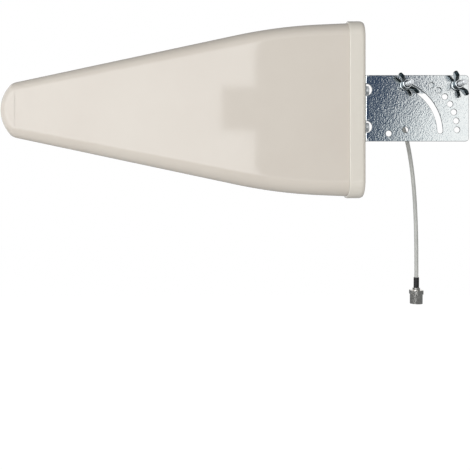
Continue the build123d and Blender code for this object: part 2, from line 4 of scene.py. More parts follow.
import bmesh
import bpy
import numpy as np
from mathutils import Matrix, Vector


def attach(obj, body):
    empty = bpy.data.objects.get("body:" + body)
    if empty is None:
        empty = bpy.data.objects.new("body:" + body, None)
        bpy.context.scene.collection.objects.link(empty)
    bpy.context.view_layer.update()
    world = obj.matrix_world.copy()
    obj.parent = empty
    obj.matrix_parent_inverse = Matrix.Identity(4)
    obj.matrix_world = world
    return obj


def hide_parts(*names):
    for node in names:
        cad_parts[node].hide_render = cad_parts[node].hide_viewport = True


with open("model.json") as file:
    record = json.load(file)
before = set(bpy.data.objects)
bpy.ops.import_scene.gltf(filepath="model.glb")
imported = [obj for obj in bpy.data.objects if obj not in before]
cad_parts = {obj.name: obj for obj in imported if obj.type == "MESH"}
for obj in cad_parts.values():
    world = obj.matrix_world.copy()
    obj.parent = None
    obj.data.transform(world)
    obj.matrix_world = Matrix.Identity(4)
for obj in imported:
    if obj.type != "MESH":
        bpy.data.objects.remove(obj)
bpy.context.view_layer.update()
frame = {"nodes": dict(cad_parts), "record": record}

mm = 0.001


# Shader sockets that do sums, so that a pattern reads as a formula
class Val:
    def __init__(self, tree, socket):
        self.tree = tree
        self.socket = socket

    def sum(self, operation, other, flip=False):
        node = self.tree.nodes.new("ShaderNodeMath")
        node.operation = operation
        pair = (other, self) if flip else (self, other)
        for slot, item in zip(node.inputs, pair):
            if isinstance(item, Val):
                self.tree.links.new(item.socket, slot)
            else:
                slot.default_value = item
        return Val(self.tree, node.outputs[0])

    def __add__(self, other):
        return self.sum("ADD", other)

    def __radd__(self, other):
        return self.sum("ADD", other, flip=True)

    def __sub__(self, other):
        return self.sum("SUBTRACT", other)

    def __rsub__(self, other):
        return self.sum("SUBTRACT", other, flip=True)

    def __mul__(self, other):
        return self.sum("MULTIPLY", other)

    def __rmul__(self, other):
        return self.sum("MULTIPLY", other, flip=True)

    def __truediv__(self, other):
        return self.sum("DIVIDE", other)


# The nodes of one material or world. A single method adds every node that isn't a sum
class Nodes:
    def __init__(self, owner):
        self.owner = owner
        owner.use_nodes = True
        self.tree = owner.node_tree

    def node(self, kind, settings=None, **inputs):
        # An input is called by its socket's name, with _ for a space, or by _ and its number
        made = self.tree.nodes.new(kind)
        for key, value in (settings or {}).items():
            setattr(made, key, value)
        for key, value in inputs.items():
            slot = int(key[1:]) if key[0] == "_" else key.replace("_", " ")
            self.feed(made.inputs[slot], value)
        return made

    def feed(self, slot, value):
        if isinstance(value, Val):
            value = value.socket
        if isinstance(value, bpy.types.NodeSocket):
            self.tree.links.new(value, slot)
        else:
            slot.default_value = value

    def value(self, output, kind, settings=None, **inputs):
        # One output of a new node, ready for sums
        return Val(self.tree, self.node(kind, settings, **inputs).outputs[output])

    def mix(self, share, first, second):
        return self.node("ShaderNodeMix", {"data_type": "RGBA"}, _0=share, _6=first, _7=second).outputs[2]

    def seenRays(self):
        # 1 for what is seen, straight, mirrored or through glass, and 0 for the light that things take in
        path = self.node("ShaderNodeLightPath")
        straight = Val(self.tree, path.outputs["Is Camera Ray"])
        mirrored = Val(self.tree, path.outputs["Is Glossy Ray"])
        return straight + mirrored + Val(self.tree, path.outputs["Is Transmission Ray"])


# A material with one Principled shader
class Finish(Nodes):
    def __init__(self, name):
        super().__init__(bpy.data.materials.new(name))
        self.shader = next(n for n in self.tree.nodes if n.type == "BSDF_PRINCIPLED")
        self.here = self.node("ShaderNodeTexCoord").outputs["Object"]

    def noise(self, scale, detail=2.0, roughness=0.5):
        return self.value(
            0, "ShaderNodeTexNoise", Vector=self.here, Scale=scale, Detail=detail, Roughness=roughness
        )

    def spread(self, value, outLow=0.0, outHigh=1.0, low=0.3, high=0.7):
        # low to high becomes outLow to outHigh, and what lies beyond either is held there
        return self.value(
            0, "ShaderNodeMapRange", {"clamp": True}, _0=value, _1=low, _2=high, _3=outLow, _4=outHigh
        )

    def attribute(self, name):
        return self.value("Fac", "ShaderNodeAttribute", {"attribute_name": name})

    def bump(self, height, strength, distance):
        made = self.node("ShaderNodeBump", Height=height, Strength=strength, Distance=distance)
        self.set(Normal=made.outputs["Normal"])

    def set(self, **inputs):
        for key, value in inputs.items():
            self.feed(self.shader.inputs[key.replace("_", " ")], value)


def rgb(r, g, b):
    # A display colour of 0 to 255, as the linear colour that a shader takes
    def linear(v):
        v = v / 255
        return v / 12.92 if v <= 0.04045 else ((v + 0.055) / 1.055) ** 2.4

    return (linear(r), linear(g), linear(b), 1.0)


# Finishes. Noise scales are in waves per metre, roughness runs between two values, and a bump has its
# strength and its depth in metres

housingLook = {
    "drift": 9.0,
    "grain": 900.0,
    "roughness": (0.05, 0.08),
    "gloss": 0.45,
    "bump": (0.03, 0.00005),
}


def housingPlastic(name, pale, deep, h):
    look = Finish(name)
    drift = look.noise(h["drift"], detail=3.0)
    grain = look.noise(h["grain"], roughness=0.6)
    look.set(
        Base_Color=look.mix(look.spread(drift), pale, deep),
        Roughness=look.spread(grain, *h["roughness"]),
        Specular_IOR_Level=h["gloss"],
    )
    look.bump(grain, *h["bump"])
    return look.owner


zincLook = {
    "grain": 720.0,
    "patch": 230.0,
    "cloud": 24.0,
    "patchInTone": 0.4,
    "patchInBump": 0.4,
    "toneFrom": 0.30,
    "toneTo": 0.68,
    "face": (rgb(228, 234, 235), rgb(246, 249, 248)),
    "cutEdge": rgb(112, 117, 119),
    "cloudInWiped": 0.5,
    "wipedFrom": 0.35,
    "wipedTo": 0.65,
    "roughness": (0.07, 0.12),
    "cutRoughness": 0.25,
    "bump": (0.28, 0.0004),
}


def zincPlate(name, z):
    # The face is a fine grain with patches, and the attribute cut is 1 on the walls where the sheet was cut
    look = Finish(name)
    grain = look.noise(z["grain"], detail=1.0)
    patch = look.noise(z["patch"], detail=1.0)
    cloud = look.noise(z["cloud"], detail=3.0)
    cut = look.attribute("cut")
    speckle = grain * (1 - z["patchInTone"]) + patch * z["patchInTone"]
    face = look.mix(look.spread(speckle, low=z["toneFrom"], high=z["toneTo"]), *z["face"])
    wiped = cloud * z["cloudInWiped"] + patch * (1 - z["cloudInWiped"])
    rough = look.spread(wiped, *z["roughness"], low=z["wipedFrom"], high=z["wipedTo"])
    look.set(
        Base_Color=look.mix(cut, face, z["cutEdge"]),
        Metallic=1.0,
        Roughness=rough + cut * z["cutRoughness"],
    )
    look.bump(grain + patch * z["patchInBump"], *z["bump"])
    return look.owner


nutLook = {
    "mottle": 300.0,
    # the two dark tones are a painted dark reflection over the whole nut, mottled at random
    "paintedDarkReflection": (rgb(28, 38, 42), rgb(56, 68, 72)),
    # the pale tone is a painted highlight round the hub's upper rim
    "rimHighlightTone": rgb(235, 238, 238),
    "mottleInHighlight": 0.3,
    "highlightFrom": 0.35,
    "highlightTo": 0.75,
    "roughness": (0.12, 0.22),
    "bump": (0.12, 0.0003),
}


def nutMetal(name, n):
    # Dark tones over the whole nut that stand for a painted dark reflection, turning to a pale painted
    # highlight where the mask attribute round the hub's rim is high
    look = Finish(name)
    mottle = look.noise(n["mottle"], detail=3.0)
    paintedDarkReflection = look.mix(look.spread(mottle), *n["paintedDarkReflection"])
    rimHighlight = look.attribute("rimHighlightMask") + mottle * n["mottleInHighlight"]
    look.set(
        Base_Color=look.mix(look.spread(rimHighlight, low=n["highlightFrom"], high=n["highlightTo"]), paintedDarkReflection, n["rimHighlightTone"]),
        Metallic=1.0,
        Roughness=look.spread(mottle, *n["roughness"]),
    )
    look.bump(mottle, *n["bump"])
    return look.owner


cableLook = {
    "drift": 40.0,
    "grain": 700.0,
    "tones": (rgb(176, 176, 171), rgb(196, 196, 190)),
    "roughness": (0.35, 0.48),
    "bump": (0.08, 0.0001),
}


def cableJacket(name, c):
    look = Finish(name)
    grain = look.noise(c["grain"])
    look.set(
        Base_Color=look.mix(look.spread(look.noise(c["drift"])), *c["tones"]),
        Roughness=look.spread(grain, *c["roughness"]),
    )
    look.bump(grain, *c["bump"])
    return look.owner


def mottled(name, dark, pale, roughness, kind):
    # One fine noise carries the colour from dark to pale and the roughness between its two values
    look = Finish(name)
    mottle = look.noise(kind["scale"], kind["detail"])
    look.set(
        Base_Color=look.mix(look.spread(mottle), dark, pale),
        Metallic=kind["metallic"],
        Roughness=look.spread(mottle, *roughness),
    )
    look.bump(mottle, *kind["bump"])
    return look.owner


plated = {"scale": 500.0, "detail": 3.0, "metallic": 0.6, "bump": (0.12, 0.0002)}
metal = {"scale": 400.0, "detail": 3.0, "metallic": 1.0, "bump": (0.08, 0.0002)}
moulding = {"scale": 600.0, "detail": 2.0, "metallic": 0.0, "bump": (0.12, 0.0002)}

finishes = {
    "housing": housingPlastic("housing plastic", rgb(215, 207, 195), rgb(211, 202, 190), housingLook),
    "cap": housingPlastic("cap plastic", rgb(224, 218, 206), rgb(221, 215, 203), housingLook),
    "zinc": zincPlate("zinc plated sheet", zincLook),
    "bolt": mottled("zinc plated bolt", rgb(218, 222, 224), rgb(242, 244, 244), (0.32, 0.44), plated),
    "nut": nutMetal("cast wing nut", nutLook),
    "stainless": mottled("stainless screw", rgb(176, 176, 174), rgb(200, 200, 198), (0.25, 0.4), metal),
    "aluminium": mottled("drawn aluminium", rgb(194, 196, 198), rgb(214, 216, 217), (0.3, 0.45), metal),
    "brass": mottled("plain brass", rgb(190, 160, 96), rgb(214, 186, 122), (0.22, 0.36), metal),
    "nickel": mottled("bright nickel", rgb(204, 200, 192), rgb(222, 219, 212), (0.1, 0.2), metal),
    "black": mottled("black moulding", rgb(24, 24, 25), rgb(34, 34, 35), (0.4, 0.55), moulding),
    "rubber": mottled("black rubber", rgb(22, 22, 22), rgb(30, 30, 30), (0.55, 0.7), moulding),
    "gland": mottled("gland moulding", rgb(160, 160, 157), rgb(176, 176, 172), (0.4, 0.55), moulding),
    "cable": cableJacket("coax jacket", cableLook),
    "white": mottled("white insulator", rgb(228, 227, 221), rgb(236, 235, 230), (0.3, 0.4), moulding),
}
print("finishes made", len(finishes))

slotFinish = {
    "housing_plastic": "housing",
    "cap_plastic": "cap",
    "gasket_rubber": "rubber",
    "zinc_steel": "zinc",
    "zinc_bolt": "bolt",
    "wing_nut_metal": "nut",
    "stainless": "stainless",
    "aluminium": "aluminium",
    "brass": "brass",
    "nickel": "nickel",
    "inner_plastic": "black",
    "gland_plastic": "gland",
    "coax_jacket": "cable",
    "white_insulator": "white",
    "sleeve_rubber": "rubber",
}
nodeSlot = {row["node"]: row["material_slot"] for row in frame["record"]["subparts"]}
for name, slotName in nodeSlot.items():
    solid = frame["nodes"][name]
    solid.data.materials.clear()
    solid.data.materials.append(finishes[slotFinish[slotName]])
print("solids dressed", len(nodeSlot))


def addObject(name, data):
    made = bpy.data.objects.new(name, data)
    bpy.context.scene.collection.objects.link(made)
    return made


# Camera: the side view of the photograph, from a little below the boom, in metres

camera = {
    "distance": 0.900,
    "x": -0.2383,
    "z": -0.1033,
    "focalPixels": 734.7,
    "framePixels": 470,
    "centrePixel": (230.0, 172.0),
    "sensorWidth": 36.0,
    "nearest": 0.01,
    "farthest": 50.0,
}


def placeCamera(c):
    data = bpy.data.cameras.new("side view")
    data.sensor_width = c["sensorWidth"]
    data.lens = c["focalPixels"] / c["framePixels"] * c["sensorWidth"]
    middle = c["framePixels"] / 2
    data.shift_x = (middle - c["centrePixel"][0]) / c["framePixels"]
    data.shift_y = (c["centrePixel"][1] - middle) / c["framePixels"]
    data.clip_start = c["nearest"]
    data.clip_end = c["farthest"]
    made = addObject("side view", data)
    made.location = (c["x"], -c["distance"], c["z"])
    made.rotation_euler = (pi / 2, 0, 0)
    bpy.context.scene.camera = made


placeCamera(camera)
print("camera placed")


# Coax: one smooth curve led by the route's points, in millimetres, apart from its length in metres

coax = {
    "route": [
        (-64.0, 7.0, -27.8),
        (-43.5, 7.0, -27.8),
        (-26.0, 17.5, -36.5),
        (-16.0, 28.5, -57.0),
        (-9.2, 33.2, -85.0),
        (-4.6, 34.6, -119.0),
        (-2.2, 34.2, -161.0),
        (-1.5, 33.0, -207.0),
        (-1.9, 32.4, -250.0),
    ],
    "radius": 2.5,
    "length": 0.261,
    "bevelSteps": 6,
    "curveSteps": 24,
}


def makeCoax(c):
    data = bpy.data.curves.new("coaxLead", "CURVE")
    data.dimensions = "3D"
    data.resolution_u = c["curveSteps"]
    data.bevel_depth = c["radius"] * mm
    data.bevel_resolution = c["bevelSteps"]
    data.use_fill_caps = True
    spline = data.splines.new("NURBS")
    spline.points.add(len(c["route"]) - 1)
    for point, place in zip(spline.points, c["route"]):
        point.co = (*[v * mm for v in place], 1.0)
    spline.order_u = 3
    spline.use_endpoint_u = True
    data.materials.append(finishes["cable"])
    return addObject("coaxLead", data)


coaxLead = makeCoax(coax)
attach(coaxLead, "antenna")
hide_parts("coax_pigtail")
print("coax laid")


# Meshes from numpy grids

def gridMesh(name, points, finish, closeAlong=False):
    # points has one row along the shape and one column around it. Neighbours join into four-sided faces, the
    # last column joins the first, and the last row joins the first if closeAlong
    rows, columns = points.shape[:2]
    index = np.arange(rows * columns).reshape(rows, columns)
    index = np.concatenate([index, index[:, :1]], axis=1)
    if closeAlong:
        index = np.concatenate([index, index[:1]], axis=0)
    faces = np.stack([index[:-1, :-1], index[:-1, 1:], index[1:, 1:], index[1:, :-1]], axis=-1)
    data = bpy.data.meshes.new(name)
    data.from_pydata(points.reshape(-1, 3).tolist(), [], faces.reshape(-1, 4).tolist())
    data.update()
    data.materials.append(finishes[finish])
    return addObject(name, data)


def drawnTogether(row):
    # A row of points, all moved to their middle, which closes that end of a grid
    return row.mean(axis=1, keepdims=True) + row * 0


def mirroredRing(quarter):
    # A quarter of a section, from its outer edge to the axis, mirrored in depth and in height
    back, lower = quarter * (1, -1, 1), (1, 1, -1)
    ring = [quarter[:, ::-1], back, (back * lower)[:, ::-1][:, 1:], (quarter * lower)[:, :-1]]
    return np.concatenate(ring, axis=1)


def turned(profile, place=(0, 0, 0), order=(0, 1, 2), columns=48):
    # A profile of radius r and height h, turned once round: the points (r cos t, r sin t, h), whose three
    # numbers go to the axes that order names, moved to place
    t = np.linspace(0, 2 * pi, columns, endpoint=False)
    points = np.empty((len(profile), columns, 3))
    points[:, :, order[0]] = profile[:, :1] * np.cos(t)
    points[:, :, order[1]] = profile[:, :1] * np.sin(t)
    points[:, :, order[2]] = profile[:, 1:]
    return points + place


def tidyMesh(obj, sharpAngle=None, merge=1e-6):
    # Joins doubled points, turns all faces outwards and shades them smooth, apart from edges past sharpAngle
    work = bmesh.new()
    work.from_mesh(obj.data)
    bmesh.ops.remove_doubles(work, verts=work.verts, dist=merge)
    bmesh.ops.dissolve_degenerate(work, edges=work.edges, dist=merge)
    bmesh.ops.recalc_face_normals(work, faces=work.faces)
    for face in work.faces:
        face.smooth = True
    if sharpAngle is not None:
        for edge in work.edges:
            if len(edge.link_faces) == 2 and edge.calc_face_angle(0) > radians(sharpAngle):
                edge.smooth = False
    work.to_mesh(obj.data)
    work.free()
    obj.data.update()


def joinInto(first, others):
    # One mesh of several, with their faces side by side
    work = bmesh.new()
    for part in (first, *others):
        work.from_mesh(part.data)
    work.to_mesh(first.data)
    work.free()
    for part in others:
        bpy.data.objects.remove(part)


def applyModifiers(obj):
    # The mesh that the modifiers make takes the place of the plain one
    graph = bpy.context.evaluated_depsgraph_get()
    baked = bpy.data.meshes.new_from_object(obj.evaluated_get(graph))
    obj.modifiers.clear()
    obj.data = baked


def readPlaces(data):
    places = np.empty(len(data.vertices) * 3, np.float32)
    data.vertices.foreach_get("co", places)
    return places.reshape(-1, 3).astype(float)


def writePlaces(data, places):
    data.vertices.foreach_set("co", places.astype(np.float32).ravel())
    data.update()


# Housing: a flat tapered shell with a blunt nose, in millimetres from the tip and from the boom axis

housing = {
    "tipX": -517.95,
    "axisZ": -27.8,
    "length": 434.0,
    "noseSetback": 15.2,
    "noseHalf": 33.2,
    "noseCorner": 16.0,
    "kneeSetback": 337.0,
    "kneeHalf": 101.5,
    "kneeRadius": 615.0,
    "collarSetback": 421.0,
    "collarHalf": 105.1,
    "noseDepth": 18.0,
    "rearDepth": 32.0,
    "edgeNose": 13.0,
    "edgeRear": 20.0,
    "edgeGrowth": 0.8,
    "edgeDepthShare": 0.86,
    "noseSteps": 60,
    "cornerSteps": 24,
    "kneeSteps": 80,
    "alongRows": 220,
    "edgeColumns": 22,
    "faceColumns": 10,
    "sharpAngle": 40,
}


def arcPoints(start, corner, end, radius, count):
    # The corner between two straight runs, rounded: points on the circle that touches both runs
    a = np.array(start, float) - corner
    b = np.array(end, float) - corner
    a /= np.linalg.norm(a)
    b /= np.linalg.norm(b)
    half = np.arccos(np.clip(a @ b, -1, 1)) / 2
    reach = radius / np.tan(half)
    middle = corner + (a + b) / np.linalg.norm(a + b) * radius / np.sin(half)
    first, last = corner + a * reach - middle, corner + b * reach - middle
    angles = np.linspace(0, np.arctan2(first[0] * last[1] - first[1] * last[0], first @ last), count)
    x = first[0] * np.cos(angles) - first[1] * np.sin(angles)
    z = first[0] * np.sin(angles) + first[1] * np.cos(angles)
    return middle + np.stack([x, z], axis=1)


def housingOutline(h):
    # The upper edge in side view: nose arc, rounded corner, straight taper, long arc and rear run
    s, w = h["noseSetback"], h["noseHalf"]
    noseRadius = (s * s + w * w) / (2 * s)
    edgeAngle = atan2(w, noseRadius - s)
    cornerTurn = (pi / 2 - edgeAngle) - atan2(h["kneeHalf"] - w, h["kneeSetback"] - s)
    trim = h["noseCorner"] * tan(abs(cornerTurn) / 2) / noseRadius
    angles = np.linspace(0, edgeAngle - trim, h["noseSteps"])
    nose = np.stack([noseRadius - noseRadius * np.cos(angles), noseRadius * np.sin(angles)], axis=1)
    corner = np.array([s, w])
    tangent = np.array([sin(edgeAngle), cos(edgeAngle)])
    knee = np.array([h["kneeSetback"], h["kneeHalf"]])
    rounded = arcPoints(corner - tangent, corner, knee, h["noseCorner"], h["cornerSteps"])
    slope = (h["collarHalf"] - h["kneeHalf"]) / (h["collarSetback"] - h["kneeSetback"])
    end = np.array([h["length"], h["collarHalf"] + slope * (h["length"] - h["collarSetback"])])
    bend = arcPoints(corner, knee, end, h["kneeRadius"], h["kneeSteps"])
    return np.concatenate([nose, rounded, bend, [end]])


def evenly(line, count):
    # The same line, cut into equal steps
    steps = np.linalg.norm(np.diff(line, axis=0), axis=1)
    along = np.concatenate([[0], np.cumsum(steps)])
    wanted = np.linspace(0, along[-1], count)
    return np.stack([np.interp(wanted, along, line[:, k]) for k in range(2)], axis=1)


def makeHousing(h):
    # The half depth grows evenly from nose to collar. Each outline point carries a quarter-oval edge on both
    # faces: it goes in by w(1 - cos a) from the outline and stays below the half depth by d(1 - sin a), and
    # the flat face then runs down to the axis
    def halfDepth(x):
        return h["noseDepth"] + (h["rearDepth"] - h["noseDepth"]) * x / h["collarSetback"]

    line = evenly(housingOutline(h), h["alongRows"])
    line = np.concatenate([line[:1] * 0, line[line[:, 0] > 0]])
    step = np.gradient(line, axis=0)
    step /= np.linalg.norm(step, axis=1)[:, None]
    inward = np.stack([step[:, 1], -step[:, 0]], axis=1)
    inward[0] = (1, 0)
    share = np.clip(line[:, 0] / h["collarSetback"], 0, 1)
    edge = h["edgeNose"] + (h["edgeRear"] - h["edgeNose"]) * share ** h["edgeGrowth"]
    angles = np.linspace(0, pi / 2, h["edgeColumns"])
    swell = halfDepth(line[:, 0]) * h["edgeDepthShare"]
    going = edge[:, None] * (1 - np.cos(angles))
    edgeX = line[:, None, 0] + inward[:, None, 0] * going
    edgeZ = np.maximum(line[:, None, 1] + inward[:, None, 1] * going, 0)
    edgeY = halfDepth(edgeX) - swell[:, None] * (1 - np.sin(angles))
    # the flat face: from the end of the round edge straight down to the axis
    lift = np.linspace(1, 0, h["faceColumns"])[1:]
    faceX = np.repeat(edgeX[:, -1:], len(lift), axis=1)
    x = np.concatenate([edgeX, faceX], axis=1)
    y = np.concatenate([edgeY, halfDepth(faceX)], axis=1)
    z = np.concatenate([edgeZ, edgeZ[:, -1:] * lift], axis=1)
    ring = mirroredRing(np.stack([x, -y, z], axis=-1)) + (h["tipX"], 0, h["axisZ"])
    made = gridMesh("housingShell", np.concatenate([ring, drawnTogether(ring[-1:])]) * mm, "housing")
    tidyMesh(made, h["sharpAngle"])
    return made


housingShell = makeHousing(housing)
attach(housingShell, "antenna")
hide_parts("radome_shell")
print("housing made", len(housingShell.data.polygons))


# Back cap, in millimetres: a skirt round the housing's end, with the same oval edges and a rounded rear rim

backCap = {
    "frontX": -97.0,
    "rearX": -78.0,
    "floor": 4.0,
    "halfHeight": 107.4,
    "halfDepth": 34.3,
    "edgeWidth": 22.3,
    "leastEdge": 1.0,
    "wallFront": 2.1,
    "wallRear": 1.6,
    "lip": 1.2,
    "rim": 1.8,
    "rimDepth": 3.0,
    "rimLength": 4.6,
    "rimPower": 1.3,
    "nearEdge": 1.0,  # how far from an edge the next section lies, so that the shading turns there
    "bendSteps": 10,
    "edgeColumns": 20,
    "faceColumns": 14,
    "screwX": -90.0,
    "screwHead": 2.85,
    "screwHole": 1.6,
    "screwDepth": 9.0,
    "cutPast": 1.0,
    "floorHoles": (  # y, z and radius
        (-19.0, 22.0, 3.3),
        (-19.0, -22.0, 3.3),
        (4.0, 18.0, 2.05),
        (4.0, -18.0, 2.05),
        (7.0, 0.0, 5.0),
    ),
    "gasket": 2.0,
    "gasketWidth": 2.5,
    "gasketGap": 0.15,
    "sharpAngle": 50,
}


def ovalSections(c, x, inset, insetDepth):
    # One closed section for each x, set in by inset in height and insetDepth in depth: along the upper edge z
    # falls by w(1 - cos a) and y grows by d sin a, the flat face goes on to the axis, and the other three
    # quarters mirror it
    half, depth = c["halfHeight"] - inset, c["halfDepth"] - insetDepth
    width = np.maximum(c["edgeWidth"] - inset, c["leastEdge"])
    swell = np.maximum(c["halfDepth"] * housing["edgeDepthShare"] - insetDepth, c["leastEdge"])
    angles = np.linspace(0, pi / 2, c["edgeColumns"])
    edgeZ = half[:, None] - width[:, None] * (1 - np.cos(angles))
    edgeY = (depth - swell)[:, None] + swell[:, None] * np.sin(angles)
    lift = np.linspace(1, 0, c["faceColumns"])[1:]
    z = np.concatenate([edgeZ, edgeZ[:, -1:] * lift], axis=1)
    y = np.concatenate([edgeY, np.repeat(edgeY[:, -1:], len(lift), axis=1)], axis=1)
    quarter = np.stack([np.repeat(x[:, None], z.shape[1], axis=1), -y, z], axis=-1)
    return mirroredRing(quarter) + (0, 0, housing["axisZ"])


def capHoles(c):
    # Every hole is a profile of radius and height turned about its own axis. The countersinks are wide at the
    # skirt's outside and narrow by as much as they go in, and the floor's holes are straight
    head, hole, top, axis = c["screwHead"], c["screwHole"], c["halfHeight"], housing["axisZ"]
    high, low = top + c["cutPast"], top - c["screwDepth"]
    sunk = np.array([(0, high), (head, high), (head, top), (hole, top - head + hole), (hole, low), (0, low)])
    cutters = [turned(sunk * (1, side), (c["screwX"], 0, axis)) for side in (1, -1)]
    high, low = c["rearX"] + c["cutPast"], c["rearX"] - c["floor"] - c["cutPast"]
    for y, z, radius in c["floorHoles"]:
        straight = np.array([(0, low), (radius, low), (radius, high), (0, high)])
        cutters.append(turned(straight, (0, y, z + axis), (1, 2, 0)))
    first, *others = [gridMesh("hole", points * mm, "cap") for points in cutters]
    joinInto(first, others)
    tidyMesh(first)
    return first


def makeBackCap(c):
    # The sections follow a path of x and inset: out of the inner floor along the inside of the skirt, round
    # its lip, back along the outside, round the rear rim and in to the middle of the rear face
    bend = np.linspace(0, pi / 2, c["bendSteps"])
    lip, slant, near, wall = c["lip"], c["rimLength"], c["nearEdge"], c["wallRear"]
    front, rear, floorX = c["frontX"], c["rearX"], c["rearX"] - c["floor"]
    x = [
        [floorX, floorX, floorX, front],
        front + lip * (1 - np.cos(bend)),
        [front + lip + 2 * near, rear - slant - near],
        rear - slant * (1 - np.sin(bend) ** c["rimPower"]),
        [rear],
    ]
    skirt = [[wall + 2 * near, wall + near, wall, c["wallFront"]], lip * (1 - np.sin(bend)), [0, 0]]
    rims = [[rim * (1 - np.cos(bend) ** c["rimPower"]), [rim]] for rim in (c["rim"], c["rimDepth"])]
    inset, insetDepth = [np.concatenate(skirt + rim) for rim in rims]
    ring = ovalSections(c, np.concatenate(x), inset, insetDepth)
    for row in (0, -1):
        ring[row] = (ring[row, 0, 0], 0, housing["axisZ"])
    made = gridMesh("backCap", ring * mm, "cap")
    tidyMesh(made, c["sharpAngle"])
    holes = capHoles(c)
    cut = made.modifiers.new("holes", "BOOLEAN")
    cut.operation = "DIFFERENCE"
    cut.solver = "EXACT"
    cut.object = holes
    applyModifiers(made)
    bpy.data.objects.remove(holes)
    tidyMesh(made, c["sharpAngle"])
    return made


def makeGasket(c):
    # A flat ring between the shell's end and the cap's floor, with the shell's own oval edges
    high = c["rearX"] - c["floor"]
    low = high - c["gasket"]
    out = c["wallRear"] + c["gasketGap"]
    inset = np.array([out, out, out + c["gasketWidth"], out + c["gasketWidth"]])
    ring = ovalSections(c, np.array([low, high, high, low]), inset, inset)
    made = gridMesh("gasketRing", ring * mm, "rubber", closeAlong=True)
    tidyMesh(made, c["sharpAngle"])
    return made


capPiece = makeBackCap(backCap)
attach(capPiece, "antenna")
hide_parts("back_cap")
gasketRing = makeGasket(backCap)
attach(gasketRing, "antenna")
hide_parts("cap_gasket")
print("back cap and gasket made", len(capPiece.data.polygons), len(gasketRing.data.polygons))


# Bracket sheet: the CAD plate's own form, with every cut edge rounded over, in metres

bracketSheet = {
    "merge": 1e-6,
    "flatWithin": 0.3,
    "sharpFrom": 40.0,
    "edgeRound": 0.00045,
    "segments": 3,
    "flatFrom": 5e-6,
    "squareOn": 0.9999,
    "cutBelow": 0.97,
    "bendAt": (-0.0740, -0.0260),
    "bendPower": 7.0,
    "leastReach": 1e-9,
}


def tighterFold(places, b):
    # A point at angle a about the fold's middle goes out by 1 over the n-th root of |cos a|^n + |sin a|^n
    middle, n = np.array(b["bendAt"]), b["bendPower"]
    away = places[:, :2] - middle
    inFold = (away < 0).all(axis=1)
    reach = np.maximum(np.hypot(away[:, 0], away[:, 1]), b["leastReach"])
    grow = (np.abs(away[:, 0] / reach) ** n + np.abs(away[:, 1] / reach) ** n) ** (-1 / n)
    places[:, :2] = middle + away * np.where(inFold, grow, 1)[:, None]
    return places


def makeBracketSheet(b):
    # The triangles of each flat become one face again, every edge that turns by more than the sharp angle is
    # rounded by an arc, and the fold is pulled tighter. Large faces square on to x or y are shaded flat
    work = bmesh.new()
    work.from_mesh(frame["nodes"]["bracket_plate"].data)
    bmesh.ops.remove_doubles(work, verts=work.verts, dist=b["merge"])
    bmesh.ops.dissolve_limit(work, angle_limit=radians(b["flatWithin"]), verts=work.verts, edges=work.edges)
    limit = radians(b["sharpFrom"])
    sharp = [e for e in work.edges if len(e.link_faces) == 2 and e.calc_face_angle(0) > limit]
    bmesh.ops.bevel(work, geom=sharp, offset=b["edgeRound"], offset_type="OFFSET", segments=b["segments"],
                    profile=0.5, affect="EDGES", clamp_overlap=False)
    # cut: the walls of the holes and edges, where the sheet was cut
    cut = work.faces.layers.float.new("cut")
    for face in work.faces:
        across, depth, up = [abs(v) for v in face.normal]
        face.smooth = max(across, depth) < b["squareOn"] or face.calc_area() < b["flatFrom"]
        inWeb = face.calc_center_median().x > b["bendAt"][0]
        face[cut] = float(depth < b["cutBelow"] if inWeb else up > 1 - b["cutBelow"])
    data = bpy.data.meshes.new("bracketSheet")
    work.to_mesh(data)
    work.free()
    writePlaces(data, tighterFold(readPlaces(data), b))
    data.materials.append(finishes["zinc"])
    return addObject("bracketSheet", data)


sheetPiece = makeBracketSheet(bracketSheet)
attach(sheetPiece, "antenna")
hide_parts("bracket_plate")
print("bracket sheet made", len(sheetPiece.data.polygons))


# U-bolt: a bent rod whose legs carry a rolled thread, domed at the tips, in millimetres

uBolt = {
    "halfSpacing": 30.5,
    "rodRadius": 3.0,
    "tipY": -62.3,
    "threadEndY": -14.0,
    "bendY": -6.3,
    "pitch": 1.0,
    "threadDepth": 0.32,
    "toothSlope": 1.25,
    "toothFlat": 0.1,
    "dome": 0.8,
    "domeRows": (0.0, 0.02, 0.2, 0.5),  # in the place of the thread's first two rows
    "rowsPerPitch": 8,
    "columns": 28,
    "plainRows": 90,
    "sharpAngle": 50,
}


